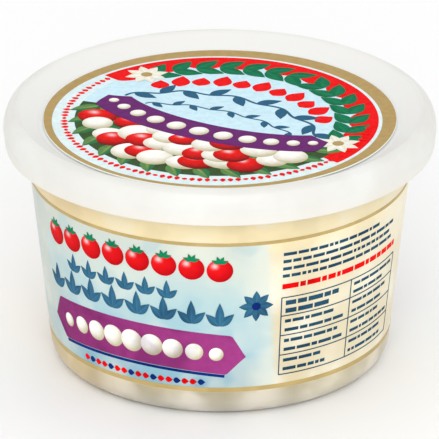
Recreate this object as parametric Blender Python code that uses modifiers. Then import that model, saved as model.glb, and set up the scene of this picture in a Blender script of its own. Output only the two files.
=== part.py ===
"""A shut plastic tub of small mozzarella balls in water, with a press-on lid.

Metres, +Z up. The origin is the middle of the flat ring that the tub stands on.
Every piece is turned about Z: a profile of (radius, height) points, spun by a Screw modifier.
Run it with: blender --background --python part.py
"""

import math

import bpy
import numpy as np

MM = 0.001

# Driving dimensions
FACETS = 60  # round every turned piece
WALL = 0.8 * MM  # of the tub and of the lid
CLEARANCE = 0.3 * MM  # left between pieces that touch

BASE_RADIUS = 45.9 * MM  # where the line of the tub's side meets the ground
DRAFT = math.atan(0.105)  # the side leans out by six degrees
BASE_CORNER = 5.4 * MM
FOOT_INNER = 35.5 * MM  # inner edge of the flat ring underneath
BASE_RECESS = 1.0 * MM  # the middle of the base is raised by this

RIM_TOP = 68.2 * MM
RIM_RADIUS = 57.0 * MM
RIM_LIP = 3.4 * MM  # height of the rim's turned-down edge
RIM_FILLET = 0.6 * MM

LID_RADIUS = 58.5 * MM
LID_TOP = 71.0 * MM
CREST_RADIUS = 55.4 * MM  # where the lid is highest
CREST_ROUND = 2.0 * MM  # rounding on the crest's inner side
SHOULDER_DROP = 5.5 * MM  # height of the rounded outer shoulder
SKIRT_BOTTOM = 61.3 * MM
SKIRT_MOUTH = 58.1 * MM  # the skirt draws in towards its lower edge
PANEL_TOP = 67.15 * MM  # the sunk flat panel in the middle
PANEL_SLOPE = math.radians(33)  # of the ramp from the panel up to the crest
PANEL_FILLET = 1.5 * MM

LABEL_RADIUS = 47.8 * MM
LABEL_THICKNESS = 0.35 * MM
LABEL_EDGE = 0.1 * MM

FILL_LEVEL = 60.0 * MM  # of the water over the cheese

QUARTER = math.pi / 2


def arc(centre, radii, start, end, count):
    """Points of an elliptical arc: centre + radii * (cos, sin) of angles from start to end."""
    angles = np.linspace(start, end, count)
    directions = np.stack([np.cos(angles), np.sin(angles)], axis=1)
    return list(np.array(centre) + np.array(radii) * directions)


def moved_in(path, distance):
    """The same profile moved to the right of its direction, with mitred corners."""
    path = np.array(path)
    along = np.diff(path, axis=0)
    along /= np.linalg.norm(along, axis=1, keepdims=True)
    right = np.stack([along[:, 1], -along[:, 0]], axis=1)
    before = np.vstack([right[:1], right])
    after = np.vstack([right, right[-1:]])
    mitre = (before + after) / (1 + np.sum(before * after, axis=1, keepdims=True))
    moved = path + distance * mitre
    moved[path[:, 0] == 0, 0] = 0
    return moved


def side_radius(height):
    """Outer radius of the tub's straight side at a height."""
    return BASE_RADIUS + height * math.tan(DRAFT)


def rim_profile():
    """Inner face of the turned-down lip, up and in under the rim, down to the side."""
    lip = RIM_RADIUS - WALL
    under = RIM_TOP - WALL
    fillet = (RIM_FILLET, RIM_FILLET)
    lip_centre = (lip - RIM_FILLET, under - RIM_FILLET)
    side_centre_height = under - RIM_FILLET
    side_centre = (
        side_radius(side_centre_height) + RIM_FILLET / math.cos(DRAFT),
        side_centre_height,
    )
    return (
        [(lip, RIM_TOP - RIM_LIP)]
        + arc(lip_centre, fillet, 0, QUARTER, 4)
        + arc(side_centre, fillet, QUARTER, math.pi - DRAFT, 4)
    )


def base_profile():
    """Round corner between side and ground, the flat foot ring, and the raised middle."""
    corner = (BASE_CORNER, BASE_CORNER)
    centre = (
        side_radius(BASE_CORNER) - BASE_CORNER / math.cos(DRAFT),
        BASE_CORNER,
    )
    return arc(centre, corner, -DRAFT, -QUARTER, 7) + [
        (FOOT_INNER, 0),
        (FOOT_INNER - BASE_RECESS, BASE_RECESS),
        (0, BASE_RECESS),
    ]


def contents_profile():
    """The level water surface, then everything just inside the tub's wall and base."""
    inner = moved_in(
        [(side_radius(RIM_TOP), RIM_TOP)] + base_profile(),
        WALL + CLEARANCE,
    )
    top, first = inner[0], inner[1]
    share = (top[1] - FILL_LEVEL) / (top[1] - first[1])
    edge = (top[0] + share * (first[0] - top[0]), FILL_LEVEL)
    return [(0, FILL_LEVEL), edge] + list(inner[1:])


def lid_profile():
    """The sunk panel, the ramp to the crest, the round shoulder and the skirt."""
    half_slope = PANEL_SLOPE / 2
    crest_centre = (CREST_RADIUS, LID_TOP - CREST_ROUND)
    ramp_top = arc(
        crest_centre,
        (CREST_ROUND, CREST_ROUND),
        QUARTER + PANEL_SLOPE,
        QUARTER,
        5,
    )
    rise = ramp_top[0][1] - PANEL_TOP
    ramp_foot = ramp_top[0][0] - rise / math.tan(PANEL_SLOPE)
    fillet_centre = (
        ramp_foot - PANEL_FILLET * math.tan(half_slope),
        PANEL_TOP + PANEL_FILLET,
    )
    fillet = arc(
        fillet_centre,
        (PANEL_FILLET, PANEL_FILLET),
        -QUARTER,
        -QUARTER + PANEL_SLOPE,
        3,
    )
    shoulder = arc(
        (CREST_RADIUS, LID_TOP - SHOULDER_DROP),
        (LID_RADIUS - CREST_RADIUS, SHOULDER_DROP),
        QUARTER,
        0,
        8,
    )
    skirt_edge = [(SKIRT_MOUTH, SKIRT_BOTTOM)]
    return [(0, PANEL_TOP)] + fillet + ramp_top + shoulder[1:] + skirt_edge


def label_profile():
    """A thin disc with a small chamfer round its upper edge."""
    under = PANEL_TOP + CLEARANCE
    top = under + LABEL_THICKNESS
    return [
        (0, top),
        (LABEL_RADIUS - LABEL_EDGE, top),
        (LABEL_RADIUS, top - LABEL_EDGE),
        (LABEL_RADIUS, under),
        (0, under),
    ]


def plastic(name, colour, roughness, alpha=1.0):
    """A Principled material with no metal in it."""
    material = bpy.data.materials.new(name)
    material.use_nodes = True
    shader = material.node_tree.nodes["Principled BSDF"]
    shader.inputs["Base Color"].default_value = (*colour, 1)
    shader.inputs["Roughness"].default_value = roughness
    shader.inputs["Metallic"].default_value = 0
    shader.inputs["Alpha"].default_value = alpha
    return material


def turned(collection, name, profile, material, thickness=0.0):
    """Spins a profile about Z, gives an open shell its wall, and shades it smooth."""
    points = [(radius, 0, height) for radius, height in profile]
    edges = [(i, i + 1) for i in range(len(points) - 1)]
    mesh = bpy.data.meshes.new(name)
    mesh.from_pydata(points, edges, [])
    piece = bpy.data.objects.new(name, mesh)
    collection.objects.link(piece)

    screw = piece.modifiers.new("Turn", "SCREW")
    screw.axis = "Z"
    screw.angle = 2 * math.pi
    screw.steps = FACETS
    screw.render_steps = FACETS
    screw.use_merge_vertices = True
    screw.merge_threshold = 0.00001
    screw.use_smooth_shade = True
    if thickness:
        wall = piece.modifiers.new("Wall", "SOLIDIFY")
        wall.thickness = thickness
        wall.offset = -1
        wall.use_even_offset = True

    bpy.context.view_layer.update()
    shaped = piece.evaluated_get(bpy.context.evaluated_depsgraph_get())
    piece.data = bpy.data.meshes.new_from_object(shaped)
    piece.data.name = name
    piece.modifiers.clear()
    bpy.data.meshes.remove(mesh)
    piece.data.shade_smooth()
    piece.data.set_sharp_from_angle(angle=math.radians(40))
    piece.data.materials.clear()
    piece.data.materials.append(material)
    return piece


def main():
    for old in list(bpy.data.objects):
        bpy.data.objects.remove(old)
    tub_of_cheese = bpy.data.collections.new("mozzarella_tub")
    bpy.context.scene.collection.children.link(tub_of_cheese)

    turned(
        tub_of_cheese,
        "tub",
        rim_profile() + base_profile(),
        plastic("cream_plastic", (0.93, 0.86, 0.66), 0.35, alpha=0.55),
        thickness=WALL,
    )
    turned(
        tub_of_cheese,
        "contents",
        contents_profile(),
        plastic("cheese_in_water", (0.9, 0.87, 0.76), 0.25),
    )
    turned(
        tub_of_cheese,
        "lid",
        lid_profile(),
        plastic("white_plastic", (0.93, 0.93, 0.9), 0.4, alpha=0.8),
        thickness=WALL,
    )
    turned(
        tub_of_cheese,
        "lid_label",
        label_profile(),
        plastic("printed_label", (0.62, 0.8, 0.88), 0.3),
    )


main()
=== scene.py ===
"""The look of a shut deli tub of small mozzarella balls in water.

Arrays hold millimetres, and new_piece turns them into metres. +Z is up, -Y is the front,
and every turned piece shares the Z axis. Print coordinates on the tub's side are
(mm round from the front, mm up), and on the lid (mm right, mm towards the back).
"""

import math

import bpy
import numpy as np
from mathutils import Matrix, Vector


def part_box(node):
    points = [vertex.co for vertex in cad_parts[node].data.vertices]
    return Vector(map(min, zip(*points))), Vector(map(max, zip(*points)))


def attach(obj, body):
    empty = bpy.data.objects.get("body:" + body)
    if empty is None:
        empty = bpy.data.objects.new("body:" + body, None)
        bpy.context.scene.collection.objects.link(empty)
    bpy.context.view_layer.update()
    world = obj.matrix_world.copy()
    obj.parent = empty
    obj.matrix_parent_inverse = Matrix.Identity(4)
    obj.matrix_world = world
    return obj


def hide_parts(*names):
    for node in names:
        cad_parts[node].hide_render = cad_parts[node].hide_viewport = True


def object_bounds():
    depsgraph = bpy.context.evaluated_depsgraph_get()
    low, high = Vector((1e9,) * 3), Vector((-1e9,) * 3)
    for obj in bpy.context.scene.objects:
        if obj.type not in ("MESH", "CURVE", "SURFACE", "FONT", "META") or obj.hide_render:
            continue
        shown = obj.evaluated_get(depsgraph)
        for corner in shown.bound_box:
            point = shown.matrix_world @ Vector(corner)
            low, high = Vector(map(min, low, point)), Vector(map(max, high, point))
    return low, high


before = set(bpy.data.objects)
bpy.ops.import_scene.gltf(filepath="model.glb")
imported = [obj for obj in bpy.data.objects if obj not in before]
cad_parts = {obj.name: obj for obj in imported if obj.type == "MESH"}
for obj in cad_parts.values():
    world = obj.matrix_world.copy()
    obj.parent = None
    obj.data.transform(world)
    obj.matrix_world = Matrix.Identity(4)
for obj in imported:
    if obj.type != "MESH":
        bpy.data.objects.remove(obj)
cad_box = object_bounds()

MM = 0.001
TAU = 2 * math.pi
QUARTER = math.pi / 2


def box_mm(node):
    """Lowest and highest corner of a CAD node, in millimetres."""
    low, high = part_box(node)
    return np.array(low) / MM, np.array(high) / MM


TUB_LOW, TUB_HIGH = box_mm("tub")
LID_LOW, LID_HIGH = box_mm("lid")
LABEL_LOW, LABEL_HIGH = box_mm("lid_label")
CONTENTS_LOW, CONTENTS_HIGH = box_mm("contents")

TURNS = 240  # steps round a turned piece
WALL = 0.8  # thickness of the tub and of the lid

# The tub
BASE_RADIUS = 45.9  # where the line of the side meets the ground
DRAFT = math.atan(0.105)
BASE_CORNER = 5.4
FOOT_INNER = 35.5
BASE_RECESS = 1.0
RIM_LIP = 3.4
RIM_FILLET = 0.6
FOOT_ROUND = 0.4
GATE_RADIUS = 3.2  # the moulding gate's dimple in the middle of the base
GATE_DEPTH = 0.35

# The lid
CREST_RADIUS = 55.4
CREST_ROUND = 2.0
SHOULDER_DROP = 5.5
SKIRT_MOUTH = 58.1
PANEL_TOP = 67.15
PANEL_SLOPE = math.radians(33)
PANEL_FILLET = 1.5
EDGE_TURN = math.radians(55)  # where the crest's gently sloping top meets the steep shoulder
EDGE_SOFT = 0.35  # rounding of that edge

# The cheese and the water
PEARL_RADIUS = 8.3
PEARL_COUNT = 90
WATER_BITE = 0.15  # the water reaches this far into the wall

# The print
PRINT_SINK = 0.04  # how far a printed shape reaches under its own surface
SIDE_RADIUS = 49.0  # radius at which round-the-side millimetres are true
LINE_LOW = 8.6  # heights of the two gold lines
LINE_HIGH = 53.0
LAYER = 0.03  # step between printed layers
CLIMB = 0.0015  # step between shapes of one layer that overlap
SMALL = (6, 3)  # grid of a small leaf


# ---------------------------------------------------------------- sections

def arc(centre, radii, start, end, count):
    """Points centre + radii * (cos, sin) for angles spread evenly from start to end."""
    angles = np.linspace(start, end, count)
    return np.array(centre) + np.array(radii) * np.stack([np.cos(angles), np.sin(angles)], axis=1)


def softened(path, radius, count=5):
    """The path with each inner corner replaced by a parabola that starts and ends radius away."""
    path = np.array(path, float)
    points = [path[:1]]
    steps = np.linspace(0, 1, count)[:, None]
    for before, corner, after in zip(path, path[1:], path[2:]):
        start = corner + radius * (before - corner) / np.linalg.norm(before - corner)
        end = corner + radius * (after - corner) / np.linalg.norm(after - corner)
        points.append((1 - steps) ** 2 * start + 2 * steps * (1 - steps) * corner + steps**2 * end)
    return np.vstack(points + [path[-1:]])


def moved_in(path, distance):
    """The same path moved to the right of its direction, with mitred corners."""
    along = np.diff(path, axis=0)
    along /= np.linalg.norm(along, axis=1, keepdims=True)
    right = np.stack([along[:, 1], -along[:, 0]], axis=1)
    before = np.vstack([right[:1], right])
    after = np.vstack([right, right[-1:]])
    mitre = (before + after) / (1 + np.sum(before * after, axis=1, keepdims=True))
    moved = path + distance * mitre
    moved[path[:, 0] == 0, 0] = 0
    return moved


def side_radius(height):
    """Outer radius of the tub's straight side at a height."""
    return BASE_RADIUS + height * math.tan(DRAFT)


def base_path(from_height):
    """Side down from a height, the round corner, the foot ring and the raised, dimpled middle."""
    centre = (side_radius(BASE_CORNER) - BASE_CORNER / math.cos(DRAFT), BASE_CORNER)
    corner = arc(centre, (BASE_CORNER, BASE_CORNER), -DRAFT, -QUARTER, 16)
    top = corner[0]
    heights = np.linspace(from_height, top[1], 24, endpoint=False)
    side = np.stack([side_radius(heights), heights], axis=1)
    under = softened(
        [
            corner[-1],
            (FOOT_INNER, 0),
            (FOOT_INNER - BASE_RECESS, BASE_RECESS),
            (GATE_RADIUS, BASE_RECESS),
            (GATE_RADIUS - GATE_DEPTH, BASE_RECESS - GATE_DEPTH),
            (0, BASE_RECESS - GATE_DEPTH),
        ],
        FOOT_ROUND / 2,
    )
    return np.vstack([side, corner, under[1:]])


def tub_section():
    """Outer skin from the middle of the base up to the lip's end, and the inner skin back."""
    lip = TUB_HIGH[0] - WALL
    under = TUB_HIGH[2] - WALL
    fillet = (RIM_FILLET, RIM_FILLET)
    lip_end = (lip, TUB_HIGH[2] - RIM_LIP)
    turn_height = under - RIM_FILLET
    turn_in = (side_radius(turn_height) + RIM_FILLET / math.cos(DRAFT), turn_height)
    rim = np.vstack(
        [
            [lip_end],
            arc((lip - RIM_FILLET, turn_height), fillet, 0, QUARTER, 7),
            arc(turn_in, fillet, QUARTER, math.pi - DRAFT, 8),
        ]
    )
    outer = np.vstack([rim, base_path(rim[-1, 1] - 0.5)])
    inner = moved_in(outer, WALL)
    end = arc((lip + WALL / 2, lip_end[1]), (WALL / 2, WALL / 2), math.pi, TAU, 7)[1:-1]
    return np.vstack([outer[::-1], end, inner])


def lid_section():
    """Upper skin: panel, ramp, crest, a sloping top up to a crisp edge, shoulder, skirt; then back.

    The edge is a point of the ellipse that the shoulder follows, and the top runs straight to it.
    """
    half_slope = PANEL_SLOPE / 2
    crest = (CREST_RADIUS, LID_HIGH[2] - CREST_ROUND)
    ramp_top = arc(crest, (CREST_ROUND, CREST_ROUND), QUARTER + PANEL_SLOPE, QUARTER, 9)
    foot = ramp_top[0, 0] - (ramp_top[0, 1] - PANEL_TOP) / math.tan(PANEL_SLOPE)
    fillet = arc(
        (foot - PANEL_FILLET * math.tan(half_slope), PANEL_TOP + PANEL_FILLET),
        (PANEL_FILLET, PANEL_FILLET),
        -QUARTER,
        -QUARTER + PANEL_SLOPE,
        8,
    )
    shoulder_centre = (CREST_RADIUS, LID_HIGH[2] - SHOULDER_DROP)
    shoulder_radii = (LID_HIGH[0] - CREST_RADIUS, SHOULDER_DROP)
    shoulder = arc(shoulder_centre, shoulder_radii, EDGE_TURN, 0, 30)
    edge = softened([ramp_top[-1], shoulder[0], shoulder[3]], EDGE_SOFT, 7)
    mouth = (SKIRT_MOUTH, LID_LOW[2] + WALL / 2)
    upper = np.vstack([[(0, PANEL_TOP)], fillet, ramp_top, edge[1:-1], shoulder[3:], [mouth]])
    lower = moved_in(upper, WALL)
    middle = (upper[-1] + lower[-1]) / 2
    end = arc(middle, (WALL / 2, WALL / 2), 0, -math.pi, 7)[1:-1]
    return np.vstack([upper, end, lower[::-1]])


def water_section():
    """The level top, then down just inside the wall's inner face, and back along the base."""
    path = base_path(CONTENTS_HIGH[2] + 1)
    inner = moved_in(path, WALL - WATER_BITE)
    edge = (side_radius(CONTENTS_HIGH[2]) - (WALL - WATER_BITE) / math.cos(DRAFT), CONTENTS_HIGH[2])
    below = inner[inner[:, 1] < CONTENTS_HIGH[2] - 0.5]
    return np.vstack([below[::-1], [edge], [(0, CONTENTS_HIGH[2])]])


def label_section():
    """A thin disc with a rounded upper edge."""
    edge = LABEL_HIGH[2] - LABEL_LOW[2]
    turn = arc((LABEL_HIGH[0] - edge / 2, LABEL_HIGH[2] - edge / 2), (edge / 2, edge / 2), QUARTER, 0, 5)
    under = (LABEL_HIGH[0], LABEL_LOW[2])
    return np.vstack([[(0, LABEL_HIGH[2])], turn, [under], [(0, LABEL_LOW[2])]])


# ---------------------------------------------------------------- meshes

def lattice(rows, columns, wrap_rows=False, wrap_columns=False):
    """Corner numbers of the four-sided faces of a grid whose points are numbered row by row."""
    numbers = np.arange(rows * columns).reshape(rows, columns)
    if wrap_rows:
        numbers = np.vstack([numbers, numbers[:1]])
    if wrap_columns:
        numbers = np.hstack([numbers, numbers[:, :1]])
    corners = [numbers[:-1, :-1], numbers[:-1, 1:], numbers[1:, 1:], numbers[1:, :-1]]
    return np.stack(corners, axis=-1).reshape(-1, 4)


def turned(section, steps=TURNS):
    """Points and faces of a section carried round Z: (radius cos a, radius sin a, height).

    A section that starts and ends on the axis is closed by one point at each pole.
    A section that never meets the axis is a ring, closed on itself.
    """
    section = np.array(section, float)
    ring = section[0, 0] > 0
    middle = section if ring else section[1:-1]
    angles = np.arange(steps) * TAU / steps
    spokes = np.stack([np.cos(angles), np.sin(angles), np.zeros(steps)], axis=1)
    points = middle[:, None, :1] * spokes + middle[:, None, 1:] * np.array([0, 0, 1])
    points = points.reshape(-1, 3)
    quads = lattice(len(middle), steps, wrap_rows=ring, wrap_columns=True)
    if ring:
        return points, quads, np.empty((0, 3), int)
    here = np.arange(steps)
    following = (here + 1) % steps
    last = (len(middle) - 1) * steps
    poles = np.array([[0, 0, section[0, 1]], [0, 0, section[-1, 1]]])
    first_pole = len(points)
    fans = np.vstack(
        [
            np.stack([np.full(steps, first_pole), following, here], axis=1),
            np.stack([np.full(steps, first_pole + 1), last + here, last + following], axis=1),
        ]
    )
    return np.vstack([points, poles]), quads, fans


def facing_out(points, quads, fans):
    """The same faces, all turned round if the volume that they enclose comes out negative."""
    triangles = np.vstack([quads[:, :3], quads[:, [0, 2, 3]], fans]).astype(int)
    a, b, c = (points[triangles[:, i]] for i in range(3))
    if np.sum(a * np.cross(b, c)) < 0:
        return quads[:, ::-1], fans[:, ::-1]
    return quads, fans


def new_piece(name, shape, material, replaced=(), sharp=40, inks=None):
    """A mesh object from arrays of points, four-sided faces and three-sided faces.

    Inks are linear colours, one a point, kept in the attribute Ink.
    """
    points, quads, fans = shape
    mesh = bpy.data.meshes.new(name)
    corners = np.concatenate([quads.ravel(), fans.ravel()]).astype(np.int32)
    sizes = np.concatenate([np.full(len(quads), 4), np.full(len(fans), 3)]).astype(np.int32)
    mesh.vertices.add(len(points))
    mesh.vertices.foreach_set("co", (points * MM).astype(np.float32).ravel())
    mesh.loops.add(len(corners))
    mesh.loops.foreach_set("vertex_index", corners)
    mesh.polygons.add(len(sizes))
    mesh.polygons.foreach_set("loop_start", (np.cumsum(sizes) - sizes).astype(np.int32))
    mesh.update(calc_edges=True)
    mesh.validate()
    # On the tub shell these colours are not ink but painted light, lighter where cheese lies close behind the
    # wall.
    if inks is not None:
        layer = mesh.color_attributes.new("Ink", "FLOAT_COLOR", "POINT")
        layer.data.foreach_set("color", np.c_[inks, np.ones(len(inks))].astype(np.float32).ravel())
    mesh.shade_smooth()
    mesh.set_sharp_from_angle(angle=math.radians(sharp))
    mesh.materials.append(material)
    piece = bpy.data.objects.new(name, mesh)
    bpy.context.scene.collection.objects.link(piece)
    if replaced:
        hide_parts(*replaced)
    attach(piece, "root")
    return piece


def turned_piece(name, section, material, replaced=(), inks=None):
    """A turned solid as a piece; inks is a function of its points."""
    points, quads, fans = turned(section)
    shape = (points, *facing_out(points, quads, fans))
    return new_piece(name, shape, material, replaced, inks=None if inks is None else inks(points))


# ---------------------------------------------------------------- printed shapes

def ink(red, green, blue):
    """Linear colour of an ink whose screen values run from 0 to 255."""
    screen = np.array([red, green, blue]) / 255
    return np.where(screen <= 0.04045, screen / 12.92, ((screen + 0.055) / 1.055) ** 2.4)


def on_side(across, up, lift):
    """Print coordinates on the tub's leaning side: a point stands lift off it along its normal."""
    turn = across / SIDE_RADIUS
    radius = side_radius(up) + lift * math.cos(DRAFT)
    height = up - lift * math.sin(DRAFT)
    return np.stack([radius * np.sin(turn), -radius * np.cos(turn), height + 0 * turn], axis=-1)


def on_lid(across, up, lift):
    """Print coordinates on the flat label, turned as the lid happens to sit."""
    cos, sin = math.cos(LID_TURN), math.sin(LID_TURN)
    x = across * cos - up * sin
    y = across * sin + up * cos
    return np.stack([x, y, LABEL_HIGH[2] + lift + 0 * x], axis=-1)


class Print:
    """Thin closed shapes on one surface, each with its own inks, joined into one piece."""

    def __init__(self, surface, shift=0.0, climb=CLIMB):
        self.surface = surface
        self.shift = shift
        self.climb = climb  # each shape stands this much higher than the one before
        self.points = []
        self.inks = []
        self.quads = []
        self.fans = []
        self.count = 0

    def add(self, across, up, inks, lift, wrap=False, pole=False):
        """One slab over a grid of print coordinates: top at lift, bottom just under the surface.

        A wrapped grid closes on itself in its columns. With a pole, its last row is the outer edge
        and a middle point, the mean of the first row, closes the top and the bottom.
        """
        rows, columns = across.shape
        inks = np.broadcast_to(inks, (rows, columns, 3))
        lift = lift + self.climb * len(self.points)
        top = self.surface(across + self.shift, up, lift)
        bottom = self.surface(across + self.shift, up, lift - PRINT_SINK - LAYER)
        size = rows * columns
        here = lattice(rows, columns, wrap_columns=wrap)
        numbers = np.arange(size).reshape(rows, columns)
        edges = [numbers[-1]] if pole else [numbers[-1], numbers[0][::-1]]
        if not wrap:
            edges += [numbers[:, 0], numbers[:, -1][::-1]]
        sides = []
        for edge in edges:
            along = np.append(edge, edge[0]) if wrap else edge
            a, b = along[:-1], along[1:]
            sides.append(np.stack([a, a + size, b + size, b], axis=1))
        quads = np.vstack([here, here[:, ::-1] + size] + sides)
        points = np.vstack([top.reshape(-1, 3), bottom.reshape(-1, 3)])
        colours = np.vstack([inks.reshape(-1, 3)] * 2)
        fans = np.empty((0, 3), int)
        if pole:
            middle = np.array([across[0].mean() + self.shift, up[0].mean()])
            ends = [self.surface(middle[:1], middle[1:], h) for h in (lift, lift - PRINT_SINK - LAYER)]
            a = numbers[0]
            b = np.roll(a, -1)
            fans = np.vstack(
                [
                    np.stack([a, b, np.full(columns, 2 * size)], axis=1)[:, [2, 0, 1]],
                    np.stack([a + size, np.full(columns, 2 * size + 1), b + size], axis=1),
                ]
            )
            points = np.vstack([points] + ends)
            colours = np.vstack([colours] + [inks[0].mean(axis=0)] * 2)
        quads, fans = facing_out(points - points.mean(axis=0), quads, fans)
        self.points.append(points)
        self.inks.append(colours)
        self.quads.append(quads + self.count)
        self.fans.append(fans + self.count)
        self.count += len(points)

    def round_shape(self, centre, outline, inks, lift, rings=2):
        """A star-shaped patch: centre + s * outline(t), for s up to 1 in even rings."""
        share = np.linspace(0, 1, rings + 1)[1:, None]
        across = centre[0] + share * outline[:, 0]
        up = centre[1] + share * outline[:, 1]
        self.add(across, up, inks, lift, wrap=True, pole=True)

    def disc(self, centre, radius, colour, lift, steps=20):
        """A plain round spot."""
        self.round_shape(centre, arc((0, 0), (radius, radius), 0, TAU - TAU / steps, steps), colour, lift)

    def ball(self, centre, radius, dark, light, lift, squash=1.0, steps=28, rings=6):
        """A shaded round: the ink goes from light to dark with the distance from the upper left."""
        angles = np.arange(steps) * TAU / steps
        share = np.linspace(0, 1, rings + 1)[1:, None]
        x = share * np.cos(angles)
        y = share * np.sin(angles)
        away = np.hypot(x + 0.35, y - 0.4)
        depth = np.clip((away - 0.35) / 1.05, 0, 1)[..., None] ** 1.6
        inks = light + (dark - light) * depth
        glint = np.exp(-((np.hypot(x + 0.38, y - 0.42) / 0.2) ** 2))[..., None]
        inks = inks + (1 - inks) * 0.7 * glint
        self.add(centre[0] + radius * x, centre[1] + squash * radius * y, inks, lift, wrap=True, pole=True)

    def leaf(self, base, turn, length, width, dark, light, lift, steps=(9, 7)):
        """A leaf: half width sin(pi s ** 0.8) along its length, lighter at the midrib."""
        s = np.linspace(0.0, 1.0, steps[0])[:, None]
        t = np.linspace(-1, 1, steps[1])[None]
        half = width / 2 * (np.sin(math.pi * s**0.8) * 0.98 + 0.02)
        along = length * s + 0 * t
        aside = half * t
        across = base[0] + along * math.cos(turn) - aside * math.sin(turn)
        up = base[1] + along * math.sin(turn) + aside * math.cos(turn)
        rib = np.clip(1 - np.abs(t) * 4, 0, 1) * (1 - s)
        shade = np.clip(0.35 + 0.65 * rib - 0.25 * (t > 0), 0, 1)[..., None]
        self.add(across, up, dark + (light - dark) * shade, lift)

    def strip(self, line, half, colour, lift, blunt=False):
        """A ribbon along a line of print coordinates, half wide to each side; blunt ends are round."""
        line = np.array(line, float)
        along = np.gradient(line, axis=0)
        along /= np.linalg.norm(along, axis=1, keepdims=True)
        normal = np.stack([-along[:, 1], along[:, 0]], axis=1)
        reach = np.concatenate([[0], np.cumsum(np.linalg.norm(np.diff(line, axis=0), axis=1))])
        from_end = np.minimum(reach, reach[-1] - reach)
        half = np.broadcast_to(half, len(line)).astype(float)
        if blunt:
            short = np.clip(1 - from_end / half, 0, 1)
            half = half * np.sqrt(np.clip(1 - short**2, 0.0004, 1))
        across_steps = np.linspace(-1, 1, 5)
        points = line[:, None] + across_steps[None, :, None] * half[:, None, None] * normal[:, None]
        self.add(points[..., 0], points[..., 1], colour, lift)

    def bar(self, start, end, height, colour, lift):
        """A plain straight dash."""
        line = np.linspace(start, end, max(2, int(abs(end[0] - start[0]) / 1.5) + 2))
        self.strip(line, height / 2, colour, lift)

    def annulus(self, centre, inner, outer, colour, lift, start=0.0, end=TAU, steps=180, wave=None):
        """A ring, or a part of one, between two radii; wave(angle) adds to the inner radius."""
        whole = end - start >= TAU - 1e-6
        angles = np.linspace(start, end, steps, endpoint=not whole)
        low = inner + (wave(angles) if wave else 0 * angles)
        share = np.linspace(0, 1, 4)[:, None]
        radii = low + share * (outer - low)
        self.add(centre[0] + radii * np.cos(angles), centre[1] + radii * np.sin(angles), colour, lift, wrap=whole)

    def piece(self, name, material, slot):
        """All the shapes as one piece."""
        shape = (np.vstack(self.points), np.vstack(self.quads), np.vstack(self.fans))
        return new_piece(name, shape, material, inks=np.vstack(self.inks))


LID_TURN = math.radians(-29)

GOLD = ink(182, 154, 100)
RED = ink(240, 6, 12)
DARK_RED = ink(118, 8, 10)
TOMATO = ink(236, 16, 10)
SIDE_RED = ink(232, 20, 26)
SIDE_SHADE = ink(188, 8, 18)
WHITE = ink(255, 254, 247)
CHEESE_SHADE = ink(196, 186, 150)
PETAL = ink(232, 228, 208)
PALE_RING = ink(224, 241, 243)
SKY = ink(205, 236, 247)
PURPLE = ink(106, 38, 110)
SIDE_PURPLE = ink(136, 46, 110)
LIGHT_PURPLE = ink(164, 62, 134)
LEAF = ink(16, 134, 90)
DARK_LEAF = ink(6, 108, 70)
YOUNG_LEAF = ink(150, 176, 92)
SHADOW_GREEN = ink(58, 84, 46)
TEAL = ink(42, 96, 128)
PALE_TEAL = ink(70, 124, 152)
TABLE_INK = ink(40, 82, 106)
NAVY = ink(16, 47, 120)


def flower(print_, centre, radius, petals, dark, light, heart, lift):
    """Leaf-shaped petals evenly round a centre, and a round heart over them."""
    for i in range(petals):
        turn = i * TAU / petals
        root = (centre[0] + 0.15 * radius * math.cos(turn), centre[1] + 0.15 * radius * math.sin(turn))
        print_.leaf(root, turn, 0.85 * radius, 3.7 * radius / petals, dark, light, lift)
    print_.disc(centre, 0.26 * radius, heart, lift + LAYER)


def vine(print_, line, size, colour, lift):
    """A thin stem along a line of print coordinates, with leaves at every sixth point, left and right by turns."""
    print_.strip(line, 0.055 * size, colour, lift)
    along = np.gradient(line, axis=0)
    for number, i in enumerate(range(3, len(line), 6)):
        turn = math.atan2(along[i, 1], along[i, 0]) + (0.85 if number % 2 else -0.85)
        print_.leaf(line[i], turn, size, 0.46 * size, colour, colour, lift)


def sprig(print_, foot, tall, dark, light, lift):
    """Three leaves fanned up from a foot, the middle one the longest."""
    for turn, share in ((0.8, 0.74), (-0.8, 0.74), (0.0, 1.0)):
        print_.leaf(foot, QUARTER + turn, share * tall, 0.34 * tall, dark, light, lift)


def plaque(print_, line, half, first, last, lift):
    """A strip with pointed ends, whose ink goes from first to last along it."""
    away = np.minimum(np.arange(len(line)), np.arange(len(line))[::-1]) / len(line)
    share = np.linspace(0, 1, len(line))[:, None, None]
    print_.strip(line, half * np.clip(away / 0.07, 0.02, 1), first + (last - first) * share, lift)


def around(centre, radius, angle):
    """The point at an angle on a circle, or on an ellipse where radius is a pair."""
    across, up = np.broadcast_to(radius, 2)
    return np.array([centre[0] + across * math.cos(angle), centre[1] + up * math.sin(angle)])


def dashes(print_, random, start, end, height, colour, lift):
    """A line of plain dashes of uneven length between two points at one height."""
    at = start[0]
    while at < end[0] - 0.8:
        length = min(random.uniform(0.9, 4.6), end[0] - at)
        print_.bar((at, start[1]), (at + length, start[1]), height, colour, lift)
        at += length + 0.5


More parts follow.
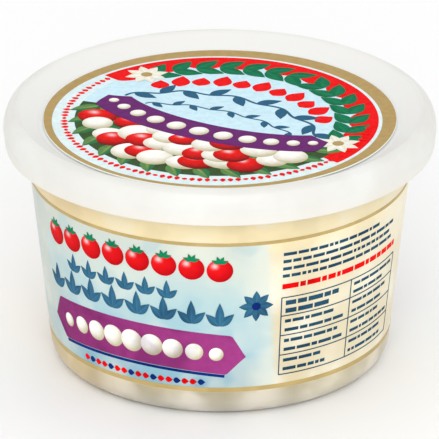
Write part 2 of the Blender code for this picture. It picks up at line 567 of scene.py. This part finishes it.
def lid_print(material):
    """Gold border, pale ring of red lozenges, sky field, scallops, laurel, friezes, band and balls."""
    random = np.random.default_rng(7)
    middle = (0.1, -1.7)

    border = Print(on_lid)
    border.disc((0, 0), LABEL_HIGH[0] - 0.15, GOLD, LAYER, steps=180)
    border.disc(middle, 44.6, PALE_RING, 2 * LAYER, steps=180)
    border.disc(middle, 38.6, SKY, 3 * LAYER, steps=160)
    for i in range(78):
        spot = around(middle, 41.3, math.radians(163 + i * 217 / 77))
        turn = math.radians(163 + i * 217 / 77)
        long = 2.1 if i % 4 else 1.2
        root = spot - 0.5 * long * np.array([math.cos(turn), math.sin(turn)])
        border.leaf(root, turn, long, 1.5, RED, RED, 3 * LAYER, SMALL)
    border.piece("lid_print_border", material, "print")

    awning = Print(on_lid)
    low, high = math.radians(-14), math.radians(164)
    awning.annulus(
        middle, 38.4, 43.6, RED, 4 * LAYER, low, high, 260,
        wave=lambda a: -3.0 * np.abs(np.sin((a - low) / (high - low) * math.pi * 11)) ** 0.6,
    )
    awning.piece("lid_print_scallops", material, "print")

    laurel = Print(on_lid)
    for foot, step in ((math.radians(149), -1), (math.radians(3), 1)):
        for i in range(7):
            angle = foot + step * i * math.radians(10.4)
            for aside in (0.6, -0.6):
                turn = angle + step * QUARTER + aside
                laurel.leaf(around(middle, 36.0, angle), turn, 8.4, 4.4, DARK_LEAF, LEAF, 5 * LAYER)
    for angle in (151, 1):
        flower(laurel, around(middle, 36.6, math.radians(angle)), 6.0, 8, PETAL, WHITE, GOLD, 6 * LAYER)
    laurel.piece("lid_print_laurel", material, "print")

    frieze = Print(on_lid)
    for i in range(11):
        angle = math.radians(137 - 9.4 * i)
        spot = around((middle[0], middle[1] - 12.5), (33, 34.5), angle)
        tall = 7.4 if i % 2 else 5.8
        frieze.leaf(spot, QUARTER + 0.55 * (angle - QUARTER), tall, 5.2, RED, RED, 4 * LAYER)
    for radii, first, last, count, size in (((34.5, 26.5), 150, 30, 60, 7.2), ((30, 16.5), 138, 42, 54, 4.4)):
        angles = np.radians(np.linspace(first, last, count))
        ripple = 1 + 0.03 * np.sin(np.arange(count) * TAU / 12)
        line = np.stack([radii[0] * ripple * np.cos(angles), -11.0 + radii[1] * ripple * np.sin(angles)], axis=1)
        vine(frieze, line + np.array([middle[0], middle[1]]), size, TEAL, 4 * LAYER)
    frieze.piece("lid_print_frieze", material, "print")

    garland = Print(on_lid)
    garland.annulus(
        middle, 12.0, 38.5, SHADOW_GREEN, 4.5 * LAYER, math.radians(190), math.radians(350), 140,
        wave=lambda a: 12.0 - 9.0 * np.abs(np.sin(a)) ** 3,
    )
    for angle in range(193, 350, 12):
        root = around(middle, 33.0, math.radians(angle))
        for aside in (0.6, 2.6):
            garland.leaf(root, math.radians(angle) + aside, 8.5, 4.2, DARK_LEAF, YOUNG_LEAF, 5.025 * LAYER)
    rows = ((31.6, 205, 336, 13), (24.4, 219, 323, 9), (18.2, 236, 306, 5))
    for row, (radius, first, last, count) in enumerate(rows):
        for i in range(count):
            angle = math.radians(first + (last - first) * i / (count - 1) + random.uniform(-4, 4))
            spot = around(middle, radius + random.uniform(-2.4, 1.2), angle)
            dark, light = (DARK_RED, TOMATO) if (2 * i + row) % 5 < 2 else (CHEESE_SHADE, WHITE)
            size = random.uniform(4.2, 5.8)
            garland.ball(spot, size, dark, light, 6.025 * LAYER, squash=random.uniform(0.82, 1.0))
    garland.piece("lid_print_garland", material, "print")

    band = Print(on_lid)
    angles = np.radians(np.linspace(204, 336, 110))
    heart, radii = (middle[0], middle[1] + 7.0), (37.0, 17.0)
    bow = np.stack([heart[0] + radii[0] * np.cos(angles), heart[1] + radii[1] * np.sin(angles)], axis=1)
    plaque(band, bow, 5.4, PURPLE, PURPLE, 9.5 * LAYER)
    for i in range(11):
        size = 1.4 + 1.3 * math.sin(i * math.pi / 10)
        spot = around(heart, radii, math.radians(214 + i * 11.2))
        band.ball(spot, size, CHEESE_SHADE, WHITE, 10.5 * LAYER, steps=20, rings=4)
    band.piece("lid_print_band", material, "print")


def side_print(material, shift, name):
    """One printed face of the side: red row, rows of sprigs, bowed band with balls, small row, flower."""
    row = Print(on_side, shift)
    for i in range(8):
        share = i / 7
        spot = (-51.0 + 51.0 * share, 45.2 + 1.2 * math.sin(math.pi * share))
        row.ball(spot, 3.4, SIDE_SHADE, SIDE_RED, 2 * LAYER)
        for turn in (0.35, 1.1, 1.9, 2.7):
            row.leaf((spot[0], spot[1] + 2.2), turn, 2.3, 1.0, LEAF, LEAF, 3 * LAYER)
    row.piece(f"{name}_row", material, "tub_plastic")

    vines = Print(on_side, shift)
    for first, last, count, height, bow, tall in ((-44, -14, 6, 36.0, 0.4, 5.4), (-53, 0, 8, 28.3, 1.4, 7.0)):
        for x in np.linspace(first, last, count):
            share = (x - first) / (last - first)
            sprig(vines, (x, height + bow * math.sin(math.pi * share)), tall, TEAL, PALE_TEAL, 2 * LAYER)
    vines.piece(f"{name}_sprigs", material, "tub_plastic")

    band = Print(on_side, shift)
    left, right, low, bow = -57.0, 7.0, 18.6, 2.4
    half = (right - left) / 2
    x = np.linspace(left, right, 90)
    line = np.stack([x, low + bow * (1 - ((x - left - half) / half) ** 2)], axis=1)
    plaque(band, line, 6.0, SIDE_PURPLE, LIGHT_PURPLE, 2 * LAYER)
    band.strip(line[8:-8] - np.array([0, 6.6]), 0.4, NAVY, 2 * LAYER)
    for i in range(9):
        px = left + 8.0 + i * 6.0
        size = 2.0 + 1.3 * math.sin(i * math.pi / 8)
        spot = (px, low + bow * (1 - ((px - left - half) / half) ** 2))
        band.ball(spot, size, CHEESE_SHADE, WHITE, 3 * LAYER, steps=22, rings=4)
    band.piece(f"{name}_band", material, "tub_plastic")

    small = Print(on_side, shift)
    for i in range(17):
        colour = NAVY if i % 3 == 1 else RED
        small.leaf((-43 + i * 2.3, 10.9), 0.0, 2.1, 1.8, colour, colour, 2 * LAYER, SMALL)
    flower(small, (9.6, 34.0), 4.6, 8, TEAL, PALE_TEAL, NAVY, 2 * LAYER)
    small.piece(f"{name}_small", material, "tub_plastic")


def table_print(material, shift, name, seed):
    """A ruled table of plain dashes, a red line over it and short lines above."""
    random = np.random.default_rng(seed)
    table = Print(on_side, shift, climb=0)
    left, right, post = 16.5, 60.0, 38.5
    low, high = 12.0, 35.6
    for height in (low, 18.0, 24.0, 30.0, high):
        table.bar((left, height), (right, height), 0.3, TABLE_INK, 2 * LAYER)
    for x in (left, post, right):
        table.strip(np.stack([np.full(12, x), np.linspace(low, high, 12)], 1), 0.15, TABLE_INK, 2.2 * LAYER)
    for height in (13.6, 16.3, 19.6, 22.3, 25.6, 28.3, 31.5, 33.9):
        bold = 1.35 if height > 31 else 0.95
        reach = post - random.uniform(1.5, 9)
        dashes(table, random, (left + 1.2, height), (reach, height), bold, TABLE_INK, 2 * LAYER)
        dashes(table, random, (post + 1.2, height), (right - random.uniform(1.5, 9), height), 0.85, TABLE_INK, 2 * LAYER)
    dashes(table, random, (left, 39.0), (right, 39.0), 1.5, RED, 2 * LAYER)
    for height in (42.2, 44.4, 46.6, 48.8):
        dashes(table, random, (left, height), (left + random.uniform(24, 42), height), 0.9, TABLE_INK, 2 * LAYER)
    table.piece(f"{name}_table", material, "tub_plastic")


def gold_line(height, half, name, material):
    """A thin printed ring round the tub, half wide above and below its height, a flat loop."""
    heights = height + np.array([-half, half])
    out = side_radius(heights) + 1.5 * LAYER
    inside = side_radius(heights) - PRINT_SINK
    section = [(out[0], heights[0]), (out[1], heights[1]), (inside[1], heights[1]), (inside[0], heights[0])]
    turned_piece(name, section, material)


# ---------------------------------------------------------------- cheese

def settled(random, radii):
    """Centres of balls poured into the tub.

    Each step lowers every ball a little, pushes overlapping pairs apart by half their overlap,
    and holds each ball inside the leaning wall and above the base.
    """
    count = len(radii)
    spin = random.uniform(0, TAU, count)
    out = 36 * np.sqrt(random.uniform(0, 1, count))
    centres = np.stack([out * np.cos(spin), out * np.sin(spin), random.uniform(12, 130, count)], axis=1)
    floor = BASE_RECESS + WALL
    apart = radii[:, None] + radii[None]
    for step in range(1400):
        centres[:, 2] -= 0.35 if step < 1000 else 0.05
        for _ in range(2):
            gap = centres[:, None] - centres[None]
            distance = np.linalg.norm(gap, axis=2) + np.eye(count) * 1e6
            overlap = np.clip(apart - distance, 0, None)
            centres += 0.45 * np.sum(gap / distance[..., None] * overlap[..., None], axis=1)
            reach = np.hypot(centres[:, 0], centres[:, 1])
            room = side_radius(centres[:, 2]) - (WALL + radii) / math.cos(DRAFT)
            pull = np.minimum(1, room / np.maximum(reach, 1e-6))
            centres[:, :2] *= pull[:, None]
            centres[:, 2] = np.maximum(centres[:, 2], floor + radii)
    return centres


def poured_pearls():
    """Centres and radii of the balls in the tub."""
    random = np.random.default_rng(41)
    radii = PEARL_RADIUS * random.uniform(0.94, 1.05, PEARL_COUNT)
    return settled(random, radii), radii


def pearl_light(points, centres, radii):
    """Painted light on the wall at each point, as a grey: exp(-((gap - least) / 1.9 mm) ** 1.5), highest where a
    ball lies close behind the wall, standing in for the cheese's light seen through the frosted plastic.

    The gap runs from the point to the nearest ball's skin. The least gap grows towards that of a
    ball in the round corner of the base, so that the balls also show where the wall leaves them.
    """
    gaps = np.full(len(points), 1e3)
    for centre, radius in zip(centres, radii):
        gaps = np.minimum(gaps, np.linalg.norm(points - centre, axis=1) - radius)
    lowest = BASE_RECESS + WALL + PEARL_RADIUS
    corner = np.array([side_radius(lowest) - (WALL + PEARL_RADIUS) / math.cos(DRAFT), lowest])
    reach = np.stack([np.hypot(points[:, 0], points[:, 1]), points[:, 2]], axis=1)
    least = np.linalg.norm(reach - corner, axis=1) - PEARL_RADIUS
    least = np.where(points[:, 2] < lowest, WALL + 0.75 * (least - WALL), WALL)
    painted_pearl_light = np.exp(-((np.clip(gaps - least, 0, None) / 1.9) ** 1.5))
    return np.repeat(painted_pearl_light[:, None], 3, axis=1)


def pearls_shape(centres, radii):
    """All the balls: unit spheres with a low swell, scaled, a little flattened and moved into place."""
    random = np.random.default_rng(43)
    rows, columns = 13, 22
    tilt = np.linspace(0, math.pi, rows + 2)[1:-1, None]
    spin = (np.arange(columns) * TAU / columns)[None]
    ball = np.stack([np.sin(tilt) * np.cos(spin), np.sin(tilt) * np.sin(spin), np.cos(tilt) + 0 * spin], axis=-1)
    ball = np.vstack([ball.reshape(-1, 3), [[0, 0, 1], [0, 0, -1]]])
    frames = np.linalg.qr(random.normal(size=(PEARL_COUNT, 3, 3)))[0]
    frames *= np.sign(np.linalg.det(frames))[:, None, None]
    scales = random.uniform(0.93, 1.0, (PEARL_COUNT, 1, 3))
    waves = random.normal(size=(PEARL_COUNT, 3, 3)) * 1.8
    phases = random.uniform(0, TAU, (PEARL_COUNT, 3, 1))
    swell = np.sin(waves @ ball.T + phases).sum(axis=1) * 0.012
    points = (ball * scales) @ frames
    points = points * (1 + swell)[..., None] * radii[:, None, None] + centres[:, None]
    quads = lattice(rows, columns, wrap_columns=True)
    here = np.arange(columns)
    following = (here + 1) % columns
    top, bottom = rows * columns, rows * columns + 1
    last = (rows - 1) * columns
    fans = np.vstack(
        [
            np.stack([np.full(columns, top), following, here], axis=1),
            np.stack([np.full(columns, bottom), last + here, last + following], axis=1),
        ]
    )
    quads, fans = facing_out(ball, quads, fans)
    starts = (np.arange(PEARL_COUNT) * len(ball))[:, None, None]
    return points.reshape(-1, 3), (quads + starts).reshape(-1, 4), (fans + starts).reshape(-1, 3)


# ---------------------------------------------------------------- materials

class Finish:
    """A node material: a Principled shader and short calls that add and link nodes."""

    def __init__(self, name, **sockets):
        self.material = bpy.data.materials.new(name)
        self.material.use_nodes = True
        self.tree = self.material.node_tree
        self.shader = self.tree.nodes["Principled BSDF"]
        for socket, value in sockets.items():
            self.shader.inputs[socket.replace("_", " ")].default_value = value
        self.coordinates = self.tree.nodes.new("ShaderNodeTexCoord").outputs["Object"]

    def set(self, socket, value):
        """Puts a number, a colour or another node's output into a socket."""
        if isinstance(value, bpy.types.NodeSocket):
            self.tree.links.new(value, socket)
        elif hasattr(socket.default_value, "__len__"):
            filled = tuple(float(v) for v in value)
            socket.default_value = filled + (1.0,) * (len(socket.default_value) - len(filled))
        else:
            socket.default_value = value

    def node(self, kind, inputs=(), **properties):
        """A node with its properties and inputs, the inputs by name or number."""
        made = self.tree.nodes.new(kind)
        for name, value in properties.items():
            setattr(made, name, value)
        for name, value in dict(inputs).items():
            self.set(made.inputs[name], value)
        return made

    def sum(self, operation, *values, clamp=False):
        """A Math node's output."""
        made = self.node("ShaderNodeMath", operation=operation, use_clamp=clamp)
        for socket, value in zip(made.inputs, values):
            self.set(socket, value)
        return made.outputs[0]

    def step(self, value, low, high, start=0.0, end=1.0):
        """Rises smoothly from start to end while value goes from low to high."""
        inputs = {0: value, 1: low, 2: high, 3: start, 4: end}
        made = self.node("ShaderNodeMapRange", interpolation_type="SMOOTHSTEP")
        for number, given in inputs.items():
            self.set(made.inputs[number], given)
        return made.outputs[0]

    def mix(self, factor, first, second, blend="MIX"):
        """A colour mix."""
        made = self.node("ShaderNodeMix", data_type="RGBA", blend_type=blend)
        for number, given in ((0, factor), (6, first), (7, second)):
            self.set(made.inputs[number], given)
        return made.outputs[2]

    def ramp(self, value, stops):
        """Colours by position along a value from 0 to 1."""
        made = self.node("ShaderNodeValToRGB", {0: value})
        elements = made.color_ramp.elements
        while len(elements) < len(stops):
            elements.new(0.5)
        for element, (position, colour) in zip(elements, stops):
            element.position = position
            element.color = (*(float(v) for v in colour), 1)
        return made.outputs[0]

    def noise(self, scale, detail=2.0, stretch=(1, 1, 1), roughness=0.5):
        """Noise from 0 to 1 over the piece; scale counts cells a metre."""
        placed = self.node("ShaderNodeMapping", {"Vector": self.coordinates, "Scale": stretch})
        inputs = {"Vector": placed.outputs[0], "Scale": scale, "Detail": detail, "Roughness": roughness}
        return self.node("ShaderNodeTexNoise", inputs).outputs["Fac"]

    def bump(self, height, strength, distance):
        """Bump from a height between 0 and 1; distance in metres."""
        inputs = {"Height": height, "Strength": strength, "Distance": distance}
        self.set(self.shader.inputs["Normal"], self.node("ShaderNodeBump", inputs).outputs[0])

    def link(self, socket, value):
        """Links a value into a socket of the shader."""
        self.set(self.shader.inputs[socket], value)


def height_and_angle(finish):
    """Height in millimetres and angle in degrees round from the front, as node outputs."""
    parts = finish.node("ShaderNodeSeparateXYZ", {0: finish.coordinates}).outputs
    height = finish.sum("MULTIPLY", parts[2], 1 / MM)
    back = finish.sum("MULTIPLY", parts[1], -1.0)
    angle = finish.sum("MULTIPLY", finish.sum("ARCTAN2", parts[0], back), 360 / TAU)
    return height, angle


FIELD_MIDDLE = -40.5  # degrees round from the front
FIELD_HALF = 55.0
FIELD_SLANT = 0.085  # degrees a millimetre


def tub_finish():
    """Frosted cream plastic with a pale field printed twice round it between the gold lines, and painted light and
    shade: lighter where cheese lies close behind it and darker between, standing in for light through the frosted
    plastic;
    darker and warmer on the left of the front and paler on the right; brighter in the top band, against the shade
    under the lid's overhang."""
    finish = Finish("frosted_cream_plastic", Roughness=0.34, IOR=1.45)
    height, angle = height_and_angle(finish)
    slant = finish.sum("MULTIPLY", finish.sum("SUBTRACT", LINE_HIGH, height), FIELD_SLANT)
    turned_to = finish.sum("SUBTRACT", finish.sum("SUBTRACT", angle, FIELD_MIDDLE), slant)
    apart = finish.sum("WRAP", turned_to, -90.0, 90.0)
    field = finish.step(finish.sum("ABSOLUTE", apart), FIELD_HALF + 1.8, FIELD_HALF - 1.8)
    above = finish.step(height, LINE_LOW - 0.1, LINE_LOW + 0.1)
    below = finish.step(height, LINE_HIGH + 0.1, LINE_HIGH - 0.1)
    printed = finish.sum("MULTIPLY", above, below)
    field = finish.sum("MULTIPLY", field, printed)
    share = finish.sum("DIVIDE", height, TUB_HIGH[2])
    # Painted light from the shell's colour attribute: high where cheese lies close behind the wall, thinned in
    # soft random clouds.
    painted_pearl_light = finish.node("ShaderNodeAttribute", attribute_name="Ink").outputs["Fac"]
    cloud = finish.noise(130, 1.0, roughness=0.4)
    painted_pearl_light = finish.sum("MULTIPLY", painted_pearl_light, finish.step(cloud, 0.36, 0.6, 0.25, 1.0))
    # Colours of the wall by height, where cheese lies away from it and close to it. Below the low gold line the
    # bare wall is a darker olive grey, partly its own look with the brine behind and partly painted shade towards
    # the base corner, and it grows lighter again at the very foot, painted light against the floor's shade there.
    # The top band above the high gold line is the bare cream plastic, painted brighter against the shade under the
    # lid's overhang.
    gaps = finish.ramp(
        share,
        [
            (0.02, ink(196, 191, 176)),
            (0.11, ink(178, 167, 134)),
            (0.14, ink(224, 211, 176)),
            (0.40, ink(230, 218, 184)),
            (0.72, ink(242, 230, 196)),
            (0.76, ink(254, 237, 190)),
            (0.95, ink(254, 235, 188)),
        ],
    )
    cheese = finish.ramp(
        share,
        [
            (0.02, ink(230, 225, 216)),
            (0.11, ink(236, 227, 206)),
            (0.14, ink(252, 247, 230)),
            (0.72, ink(254, 249, 230)),
            (0.76, ink(254, 243, 208)),
            (0.95, ink(254, 240, 202)),
        ],
    )
    cream = finish.mix(painted_pearl_light, gaps, cheese)
    # Painted light and shade in soft random patches: paler and darker cream, in the same patches in which the side
    # ink is shaded, standing in for cheese lying near the wall and away from it.
    patches = finish.noise(75, 2.0, roughness=0.5)
    pale = finish.sum("MULTIPLY", finish.step(patches, 0.5, 0.66, 0.0, 0.45), above)
    cream = finish.mix(pale, cream, ink(255, 250, 226))
    cream = finish.mix(finish.step(patches, 0.46, 0.34, 0.0, 0.35), cream, ink(226, 208, 160))
    # Painted shade and light on the front half, faded out towards the back: the left of the front is painted
    # darker and warmer and the right paler, standing in for light that falls more from the right.
    fore = finish.step(finish.sum("ABSOLUTE", angle), 165.0, 105.0)
    warm = finish.sum("MULTIPLY", finish.step(angle, -22.0, -60.0, 0.0, 0.4), fore)
    cream = finish.mix(warm, cream, ink(236, 202, 136))
    light = finish.sum("MULTIPLY", finish.step(angle, 14.0, 44.0, 0.0, 0.3), fore)
    cream = finish.mix(light, cream, ink(255, 244, 212))
    sky = finish.ramp(
        share,
        [
            (0.12, ink(118, 170, 194)),
            (0.30, ink(150, 200, 218)),
            (0.50, ink(186, 217, 220)),
            (0.76, ink(214, 222, 212)),
        ],
    )
    left = finish.step(apart, -8.0, -34.0, 0.0, 0.75)
    sky = finish.mix(left, sky, ink(204, 208, 194))
    sky = finish.mix(finish.step(apart, 44.0, 54.0, 0.0, 0.8), sky, ink(232, 238, 226))
    # Painted light on the field where cheese lies close behind the wall, then painted light and shade in the same
    # soft patches as the cream.
    sky = finish.mix(finish.sum("MULTIPLY", painted_pearl_light, 0.5), sky, ink(238, 240, 226))
    sky = finish.mix(finish.step(patches, 0.5, 0.66, 0.0, 0.4), sky, ink(232, 234, 218))
    sky = finish.mix(finish.step(patches, 0.46, 0.34, 0.0, 0.3), sky, ink(150, 200, 214))
    colour = finish.mix(field, cream, sky)
    finish.link("Base Color", colour)
    finish.link("Transmission Weight", finish.sum("SUBTRACT", 0.2, finish.sum("MULTIPLY", printed, 0.08)))
    grain = finish.noise(900, 2.0)
    finish.link("Roughness", finish.step(grain, 0.3, 0.7, 0.31, 0.37))
    finish.bump(grain, 0.15, 0.00003)
    return finish.material


def lid_finish():
    """Milky white plastic with a satin skin: a little see-through, faintly mottled, with painted warm light on the
    skirt and painted light on the ramp inside the crest.
    """
    finish = Finish("milky_white_plastic", Roughness=0.4, IOR=1.45, Transmission_Weight=0.14)
    height, _ = height_and_angle(finish)
    mottle = finish.noise(60, 3.0, roughness=0.55)
    colour = finish.mix(finish.step(mottle, 0.3, 0.75, 0.0, 1.0), ink(233, 232, 226), ink(240, 240, 236))
    # Painted light: the skirt is tinted warm cream, standing in for the cream tub's light seen through it.
    skirt = finish.step(height, 66.0, 62.0, 0.0, 0.25)
    colour = finish.mix(skirt, colour, ink(246, 240, 224))
    # Painted light: inside about 54 mm, the ramp up to the crest is painted lighter against the shade it catches
    # in the recess.
    flat = finish.node("ShaderNodeVectorMath", {0: finish.coordinates, 1: (1, 1, 0)}, operation="MULTIPLY")
    reach = finish.node("ShaderNodeVectorMath", {0: flat.outputs[0]}, operation="LENGTH").outputs["Value"]
    sunk = finish.step(reach, 0.0555, 0.0535)
    finish.link("Base Color", finish.mix(sunk, colour, ink(243, 243, 240)))
    grain = finish.noise(700, 3.0)
    finish.link("Roughness", finish.step(grain, 0.3, 0.7, 0.36, 0.46))
    finish.bump(grain, 0.2, 0.00004)
    return finish.material


def ink_finish(name, shade):
    """Flat printing ink: its colour comes from the Ink attribute, with a faint uneven lay-down,
    and takes a shade in soft patches where the cheese lies away from the wall behind it."""
    finish = Finish(name, Roughness=0.5, IOR=1.45, Specular_IOR_Level=0.04)
    colour = finish.node("ShaderNodeAttribute", attribute_name="Ink").outputs["Color"]
    lay = finish.noise(500, 3.0, roughness=0.6)
    cloud = finish.noise(75, 2.0, roughness=0.5)
    uneven = finish.mix(finish.step(lay, 0.3, 0.7), ink(255, 255, 255), ink(243, 243, 243))
    # Painted shade: the ink is darkened in the soft patches where the tub's cream is painted darker, standing in
    # for cheese lying away from the wall behind it.
    uneven = finish.mix(finish.step(cloud, 0.52, 0.34, 0.0, 1.0), uneven, shade, "MULTIPLY")
    finish.link("Base Color", finish.mix(1.0, colour, uneven, "MULTIPLY"))
    finish.link("Roughness", finish.step(lay, 0.3, 0.7, 0.48, 0.58))
    return finish.material


def gold_finish():
    """Gold printing ink, a matt ochre that varies a little round the tub."""
    finish = Finish("gold_ink", Roughness=0.45, IOR=1.45, Specular_IOR_Level=0.25)
    lay = finish.noise(90, 3.0, roughness=0.6)
    colour = finish.mix(finish.step(lay, 0.3, 0.7), ink(178, 154, 98), ink(196, 171, 112))
    finish.link("Base Color", colour)
    finish.link("Roughness", finish.step(lay, 0.3, 0.7, 0.36, 0.46))
    return finish.material


def label_finish():
    """The label's white ground."""
    finish = Finish("label_ground", Roughness=0.42, IOR=1.45)
    lay = finish.noise(300, 3.0)
    finish.link("Base Color", finish.mix(lay, ink(232, 238, 230), ink(240, 244, 238)))
    finish.link("Roughness", finish.step(lay, 0.3, 0.7, 0.38, 0.46))
    return finish.material


def cheese_finish():
    """Wet fresh cheese: warm white with faint fibrous clouds and a moist skin."""
    finish = Finish("fresh_mozzarella", Roughness=0.3, IOR=1.4)
    cloud = finish.noise(120, 4.0, roughness=0.6)
    finish.link("Base Color", finish.mix(cloud, ink(236, 230, 212), ink(250, 248, 238)))
    grain = finish.noise(420, 4.0)
    finish.link("Roughness", finish.step(grain, 0.3, 0.7, 0.24, 0.36))
    finish.bump(grain, 0.3, 0.0002)
    return finish.material


def water_finish():
    """Cloudy brine: mostly clear, with a milky veil in soft clouds."""
    finish = Finish("cloudy_brine", Roughness=0.12, IOR=1.15)
    cloud = finish.noise(45, 2.0)
    finish.link("Base Color", finish.mix(cloud, ink(250, 238, 206), ink(250, 246, 228)))
    finish.link("Transmission Weight", finish.step(cloud, 0.3, 0.7, 0.78, 0.9))
    return finish.material


# ---------------------------------------------------------------- the scene

def make_camera():
    """A long lens, a little above the tub and straight in front of it."""
    rise = math.radians(24)
    distance = 1.5
    aim = Vector((-0.0001, 0, 0.5282 * cad_box[1].z))
    camera = bpy.data.objects.new("camera", bpy.data.cameras.new("camera"))
    camera.data.sensor_width = 36
    camera.data.lens = 451.7
    back = Vector((0, -math.cos(rise), math.sin(rise)))
    camera.location = aim + distance * back
    camera.rotation_euler = back.to_track_quat("Z", "Y").to_euler()
    bpy.context.scene.collection.objects.link(camera)
    bpy.context.scene.camera = camera


def make_floor():
    """A wide pale floor just under the foot ring."""
    half = 4.0
    mesh = bpy.data.meshes.new("floor")
    corners = [(-half, -half), (half, -half), (half, half), (-half, half)]
    mesh.from_pydata([(x, y, -0.0001) for x, y in corners], [], [(0, 1, 2, 3)])
    floor = bpy.data.objects.new("floor", mesh)
    finish = Finish("pale_floor", Roughness=0.7)
    lay = finish.noise(3.0, 2.0)
    finish.link("Base Color", finish.mix(lay, ink(247, 247, 247), ink(250, 250, 250)))
    mesh.materials.append(finish.material)
    bpy.context.scene.collection.objects.link(floor)


def soft_box(name, place, aim, size, power):
    """A square area light that faces a point."""
    lamp = bpy.data.lights.new(name, "AREA")
    lamp.shape = "SQUARE"
    lamp.size = size
    lamp.energy = power
    light = bpy.data.objects.new(name, lamp)
    light.location = place
    direction = Vector(place) - Vector(aim)
    light.rotation_euler = direction.to_track_quat("Z", "Y").to_euler()
    bpy.context.scene.collection.objects.link(light)


def make_light():
    """An even pale sky, and one large soft box low in front."""
    world = bpy.data.worlds.new("sky")
    world.use_nodes = True
    sky = world.node_tree.nodes["Background"]
    sky.inputs["Color"].default_value = (1, 1, 1, 1)
    sky.inputs["Strength"].default_value = 0.97
    scene = bpy.context.scene
    scene.world = world
    scene.view_settings.view_transform = "Standard"
    soft_box("key", (0.0, -1.22, 0.7), (0, 0, 0.04), 0.7, 6.0)


def build():
    """Every piece of the tub."""
    tub_plastic = tub_finish()
    lid_ink = ink_finish("lid_ink", ink(252, 252, 252))
    side_ink = ink_finish("side_ink", ink(222, 218, 226))
    gold = gold_finish()
    centres, radii = poured_pearls()
    turned_piece(
        "tub_shell", tub_section(), tub_plastic, ["tub"],
        # The tub wall's painted light: lighter where cheese lies close behind it.
        inks=lambda points: pearl_light(points, centres, radii),
    )
    turned_piece("lid_shell", lid_section(), lid_finish(), ["lid"])
    turned_piece("label_disc", label_section(), label_finish(), ["lid_label"])
    new_piece("pearls", pearls_shape(centres, radii), cheese_finish(), ["contents"])
    turned_piece("water", water_section(), water_finish(), ["contents"])
    gold_line(LINE_LOW, 0.66, "gold_line_low", gold)
    gold_line(LINE_HIGH, 0.5, "gold_line_high", gold)
    lid_print(lid_ink)
    half_round = SIDE_RADIUS * math.pi
    for name, shift in (("front", 0.0), ("rear", half_round)):
        side_print(side_ink, shift, name)
    table_print(side_ink, 0.0, "right", 5)
    table_print(side_ink, half_round, "left", 9)


make_camera()
make_floor()
make_light()
build()
